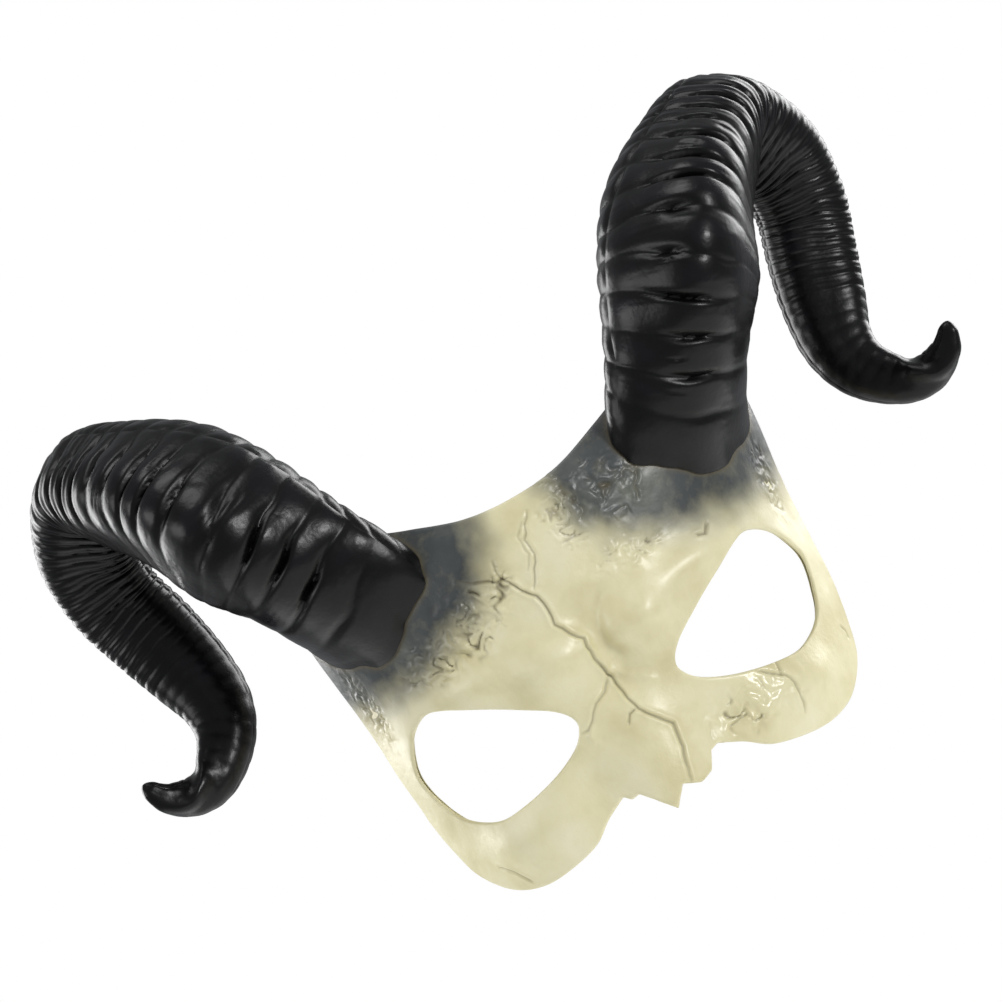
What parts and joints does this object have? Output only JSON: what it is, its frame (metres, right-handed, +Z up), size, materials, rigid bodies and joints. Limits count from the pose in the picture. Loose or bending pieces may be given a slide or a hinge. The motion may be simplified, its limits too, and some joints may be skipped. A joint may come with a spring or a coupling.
{
  "type": "horned half mask",
  "caption": "Moulded skull half mask with large curled ram horns screwed to the forehead, a foam forehead pad and an elastic head strap.",
  "frame": {"origin": "centre of the forehead pad's flat rear face, where the mask rests on the wearer's brow", "axes": "+X to the right as seen from the front, the mask faces -Y, +Z up"},
  "size_m": [0.3332, 0.1744, 0.2207],
  "materials": {
    "bone": "cream moulded plastic with grey airbrushed shading",
    "horn": "glossy black moulded plastic with growth rings",
    "plug": "black moulded plastic",
    "steel": "zinc-plated steel",
    "foam": "grey closed-cell foam",
    "elastic": "black woven elastic webbing"
  },
  "bodies": {
    "mask": {"mask_shell": "bone", "forehead_pad": "foam", "horn_front_left": "horn", "horn_rear_left": "horn", "horn_plug_left": "plug", "clamp_plate_left": "steel", "horn_screw_left_1": "steel", "horn_screw_left_2": "steel", "horn_screw_left_3": "steel", "strap_washer_left": "steel", "strap_screw_left": "steel", "horn_front_right": "horn", "horn_rear_right": "horn", "horn_plug_right": "plug", "clamp_plate_right": "steel", "horn_screw_right_1": "steel", "horn_screw_right_2": "steel", "horn_screw_right_3": "steel", "strap_washer_right": "steel", "strap_screw_right": "steel"},
    "strap": {"elastic_strap": "elastic"}
  },
  "joints": [
    {"name": "strap_swing", "type": "hinge", "parent": "mask", "child": "strap", "pos_m": [0, 0.038, -0.012], "axis": [1, 0, 0], "range_deg": [-60, 50]}
  ]
}
